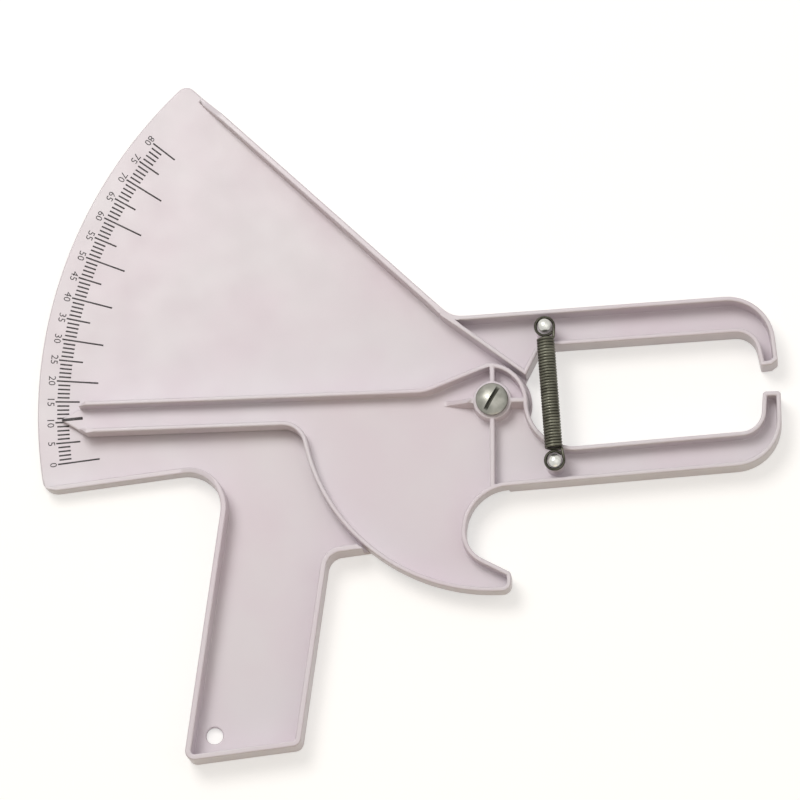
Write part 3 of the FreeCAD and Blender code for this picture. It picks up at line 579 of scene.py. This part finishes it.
def makeSpring():
    # Drawn with X from the upper post to the lower one, then laid between the posts
    spring = returnSpring
    posts = [sum(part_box(node), origin) / 2 for node in ("upper_spring_post", "lower_spring_post")]
    upper, lower = [Vector((post.x, post.y, spring["axisHeight"] * mm)) for post in posts]
    span = (lower - upper).length / mm
    along = (lower - upper).normalized()
    aside = upward.cross(along)
    flip = Matrix.Diagonal((-1, 1, -1))

    loopCentre = Vector((spring["loopShift"], 0, 0))
    freeEnd = spring["exitAngle"] + spring["loopSweep"]
    start = loopCentre + polar(spring["loop"], freeEnd)
    exitPoint = loopCentre + polar(spring["loop"], spring["exitAngle"])
    exitHeading = polar(1, spring["exitAngle"] - 90)
    lift = math.radians(spring["liftAngle"])
    radius = spring["coil"]
    length = span - 2 * spring["coilStart"]
    degrees = 360 * spring["turns"] - 2 * spring["liftAngle"]
    pitch = length * 360 / degrees
    coilStart = Vector((spring["coilStart"], radius * math.cos(lift), radius * math.sin(lift)))
    climb = pitch / (2 * math.pi * radius)
    coilHeading = Vector((climb, -math.sin(lift), math.cos(lift))).normalized()
    reach = coilStart.z / coilHeading.z
    bendStart = coilStart - reach * (exitHeading + coilHeading)
    bendRadius = reach / math.tan(exitHeading.angle(coilHeading) / 2)

    bm = bmesh.new()
    facing = polar(1, freeEnd - 90).to_track_quat("Z", "Y").to_matrix().to_4x4()
    made = bmesh.ops.create_circle(
        bm, cap_ends=False, radius=spring["wire"] / 2 * mm, segments=spring["wireSides"],
        matrix=Matrix.Translation(start * mm) @ facing,
    )
    first = made["verts"] + list(bm.edges)
    ring = turnWire(bm, first, loopCentre, -upward, spring["loopSweep"], spring["loopSteps"])
    ring = pushWire(bm, ring, bendStart - exitPoint)
    ring = bendWire(bm, ring, bendStart, exitHeading, coilHeading, bendRadius)
    steps = round(spring["turns"] * spring["stepsPerTurn"])
    ring = turnWire(bm, ring, origin, Vector((1, 0, 0)), degrees, steps, length)
    shift = Vector((span, 0, 0))
    coilEnd = shift + flip @ coilStart
    ring = bendWire(bm, ring, coilEnd, -(flip @ coilHeading), -(flip @ exitHeading), bendRadius)
    ring = pushWire(bm, ring, flip @ exitPoint - flip @ bendStart)
    centre = shift + flip @ loopCentre
    ring = turnWire(bm, ring, centre, -upward, spring["loopSweep"], spring["loopSteps"])
    for end in (first, ring):
        bmesh.ops.contextual_create(bm, geom=edgesOf(end))
    turn = Matrix((along, aside, upward)).transposed().to_4x4()
    bmesh.ops.transform(bm, matrix=Matrix.Translation(upper) @ turn, verts=bm.verts)
    # painted shade: full within 4 mm of each post, gone by the start of the coil
    paintedShade = bm.verts.layers.float.new(springWire["paintedShade"])
    for vertex in bm.verts:
        reach = min((vertex.co.xy - post.xy).length for post in (upper, lower)) / mm
        vertex[paintedShade] = min(max(spring["coilStart"] - reach, 0), 1)
    piece = addPiece("returnSpring", bm, wireFinish)
    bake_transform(piece)
    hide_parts("spring_coil", "spring_lower_hook")


makeSpring()
print("spring wound")


printedScale = {
    "plate": 3.0,          # surface that carries the print
    "thickness": 0.03,
    "zeroAngle": 7.1,      # zero mark below the horizontal
    "jawRadius": 102.9,
    "last": 80,
    "labelStep": 5,        # every fifth mark has a number
    "longStep": 10,
    "outer": 165.5,
    "labelledOuter": 166.2,
    "shortInner": 160.9,
    "fiveInner": 157.0,
    "tenInner": 150.3,
    "lastInner": 155.6,
    "width": 0.6,
    "labelRadius": 168.1,
    "labelSize": 3.85,
    "labelCurve": 2,       # steps along each curve of a digit
}


def markAngle(reading):
    opening = 2 * math.degrees(math.asin(reading / (2 * printedScale["jawRadius"])))
    return 180 + printedScale["zeroAngle"] - opening


def inkBar(bm, inner, outer, degrees, width, surface, thickness, tilt=0):
    size = Matrix.Diagonal(((outer - inner) * mm, width * mm, 2 * thickness * mm, 1))
    turn = Matrix.Rotation(math.radians(degrees + tilt), 4, "Z")
    middle = polar((inner + outer) / 2, degrees, surface)
    bmesh.ops.create_cube(bm, size=1, matrix=Matrix.Translation(middle * mm) @ turn @ size)


def makeTicks():
    marks = printedScale
    bm = bmesh.new()
    for reading in range(marks["last"] + 1):
        labelled = reading % marks["labelStep"] == 0
        outer = marks["labelledOuter"] if labelled else marks["outer"]
        if reading == marks["last"]:
            inner = marks["lastInner"]
        elif reading % marks["longStep"] == 0:
            inner = marks["tenInner"]
        else:
            inner = marks["fiveInner"] if labelled else marks["shortInner"]
        inkBar(
            bm, inner, outer, markAngle(reading), marks["width"],
            marks["plate"], marks["thickness"],
        )
    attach(addPiece("scaleTicks", bm, inkFinish), "frame")


def makeNumbers():
    marks = printedScale
    bm = bmesh.new()
    for reading in range(0, marks["last"] + 1, marks["labelStep"]):
        text = bpy.data.curves.new("number", "FONT")
        text.body = str(reading)
        text.size = marks["labelSize"] * mm
        text.extrude = marks["thickness"] * mm
        text.align_x = "CENTER"
        text.align_y = "CENTER"
        text.resolution_u = marks["labelCurve"]
        label = bpy.data.objects.new("number", text)
        mesh = bpy.data.meshes.new_from_object(label)
        angle = markAngle(reading)
        turn = Matrix.Rotation(math.radians(angle + 90), 4, "Z")
        place = polar(marks["labelRadius"], angle, marks["plate"]) * mm
        mesh.transform(Matrix.Translation(place) @ turn)
        bm.from_mesh(mesh)
        bpy.data.objects.remove(label)
        bpy.data.meshes.remove(mesh)
        bpy.data.curves.remove(text)
    bmesh.ops.remove_doubles(bm, verts=bm.verts, dist=weldDistance)
    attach(addPiece("scaleNumbers", bm, inkFinish), "frame")


indexLine = {
    "surface": 6.0,
    "thickness": 0.03,
    "inner": 155.4,
    "outer": 163.2,
    "width": 1.1,
    "angle": 181.35,
    "tilt": 3.5,        # the line is set a little crooked
}


def makeIndex():
    line = indexLine
    bm = bmesh.new()
    inkBar(
        bm, line["inner"], line["outer"], line["angle"], line["width"],
        line["surface"], line["thickness"], line["tilt"],
    )
    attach(addPiece("indexLine", bm, inkFinish), "lever")


makeTicks()
makeNumbers()
makeIndex()
print("scale printed")


studio = {
    "floorSize": 8.0,
    "floorTone": (0.60, 0.585, 0.56, 1),
    "floorRoughness": 0.9,
    "floorLift": 0.54,                    # makes the floor paler where it is looked at
    "liftTone": (1, 1, 1, 1),
    "worldTone": (1.0, 0.99, 0.98, 1),
    "lowTone": (0.41, 0.32, 0.17, 1),     # light from the handle's side
    "lowReach": (-0.8, 0.25),             # how far round it comes
    "worldStrength": 0.45,                # as a light; looked at, its strength is 1
}


def seenDirectly(tree):
    # 1 for what the camera sees, directly, mirrored or through glass, and 0 for the light
    # that falls on the pieces
    path = addNode(tree, "LightPath")
    seen = path.outputs["Is Camera Ray"]
    for kind in ("Is Glossy Ray", "Is Transmission Ray"):
        either = addNode(tree, "Math", {"operation": "MAXIMUM"})
        tree.links.new(seen, either.inputs[0])
        tree.links.new(path.outputs[kind], either.inputs[1])
        seen = either.outputs[0]
    return seen


def makeFloor():
    bm = bmesh.new()
    bmesh.ops.create_grid(bm, x_segments=1, y_segments=1, size=studio["floorSize"] / 2)
    mesh = bpy.data.meshes.new("studioFloor")
    bm.to_mesh(mesh)
    bm.free()
    floor = bpy.data.objects.new("studioFloor", mesh)
    bpy.context.scene.collection.objects.link(floor)
    material = bpy.data.materials.new("paleFloor")
    material.use_nodes = True
    tree = material.node_tree
    shader = tree.nodes["Principled BSDF"]
    shader.inputs["Base Color"].default_value = studio["floorTone"]
    shader.inputs["Roughness"].default_value = studio["floorRoughness"]
    shader.inputs["Specular IOR Level"].default_value = 0.0
    shader.inputs["Emission Color"].default_value = studio["liftTone"]
    lift = addNode(tree, "Math", {"operation": "MULTIPLY"})
    lift.inputs[1].default_value = studio["floorLift"]
    tree.links.new(seenDirectly(tree), lift.inputs[0])
    tree.links.new(lift.outputs[0], shader.inputs["Emission Strength"])
    mesh.materials.append(material)


def makeWorld():
    world = bpy.data.worlds.new("studioWorld")
    bpy.context.scene.world = world
    world.use_nodes = True
    tree = world.node_tree
    background = tree.nodes["Background"]
    seen = seenDirectly(tree)
    strength = addRange(tree, (0, 1), (studio["worldStrength"], 1))
    tree.links.new(seen, strength.inputs["Value"])
    tree.links.new(strength.outputs["Result"], background.inputs["Strength"])

    place = addNode(tree, "TexCoord")
    parts = addNode(tree, "SeparateXYZ")
    side = addRange(tree, studio["lowReach"], (0, 1))
    even = addNode(tree, "Math", {"operation": "MAXIMUM"})
    tone = addNode(tree, "Mix", {"data_type": "RGBA"})
    tone.inputs[colourMix["first"]].default_value = studio["lowTone"]
    tone.inputs[colourMix["second"]].default_value = studio["worldTone"]
    tree.links.new(place.outputs["Generated"], parts.inputs["Vector"])
    tree.links.new(parts.outputs["Y"], side.inputs["Value"])
    tree.links.new(side.outputs["Result"], even.inputs[0])
    tree.links.new(seen, even.inputs[1])
    tree.links.new(even.outputs[0], tone.inputs[colourMix["factor"]])
    tree.links.new(tone.outputs[colourMix["result"]], background.inputs["Color"])


studioLamps = {
    "key": {"at": (-0.5, 0.64, 1.56), "size": 0.75, "power": 14.6, "tone": (1.0, 0.985, 0.97)},
    "fill": {"at": (0.7, -0.2, 1.4), "size": 1.3, "power": 3.0, "tone": (1.0, 0.97, 0.95)},
    "warm": {"at": (0.2, -1.2, 0.25), "size": 0.8, "power": 1.6, "tone": (1.0, 0.78, 0.52)},
}


def makeLamps():
    for name, look in studioLamps.items():
        lamp = bpy.data.lights.new(name, "AREA")
        lamp.size = look["size"]
        lamp.energy = look["power"]
        lamp.color = look["tone"]
        holder = bpy.data.objects.new(name, lamp)
        holder.location = look["at"]
        holder.rotation_mode = "QUATERNION"
        holder.rotation_quaternion = Vector(look["at"]).to_track_quat("Z", "Y")
        bpy.context.scene.collection.objects.link(holder)


studioCamera = {
    "pitch": 11.5,         # the camera looks up from this far below the straight view, degrees
    "yaw": 4.0,
    "focal": 6000,         # pixels
    "scale": 2.65,         # pixels per millimetre at the object
    "pivot": (494.0, 406.8),     # where the pivot shows, in pixels from the top left
    "width": 800,          # of the render, pixels
    "sensor": 36,
    "clip": (0.05, 20),    # metres
}


def makeCamera():
    view = studioCamera
    pitch = math.radians(view["pitch"])
    yaw = math.radians(view["yaw"])
    right = Vector((math.cos(yaw), 0, -math.sin(yaw)))
    top = Vector((
        math.sin(yaw) * math.sin(pitch), math.cos(pitch), math.cos(yaw) * math.sin(pitch),
    ))
    back = right.cross(top)
    distance = view["focal"] / view["scale"]
    aside = (view["pivot"][0] - view["width"] / 2) / view["scale"]
    above = (view["width"] / 2 - view["pivot"][1]) / view["scale"]
    lens = bpy.data.cameras.new("studioCamera")
    lens.sensor_width = view["sensor"]
    lens.lens = view["focal"] / view["width"] * view["sensor"]
    lens.clip_start, lens.clip_end = view["clip"]
    camera = bpy.data.objects.new("studioCamera", lens)
    camera.matrix_world = Matrix((right, top, back)).transposed().to_4x4()
    camera.location = (back * distance - right * aside - top * above) * mm
    bpy.context.scene.collection.objects.link(camera)
    bpy.context.scene.camera = camera


makeFloor()
makeWorld()
makeLamps()
makeCamera()
bpy.context.scene.view_settings.view_transform = "Standard"
print("studio lit, camera placed")
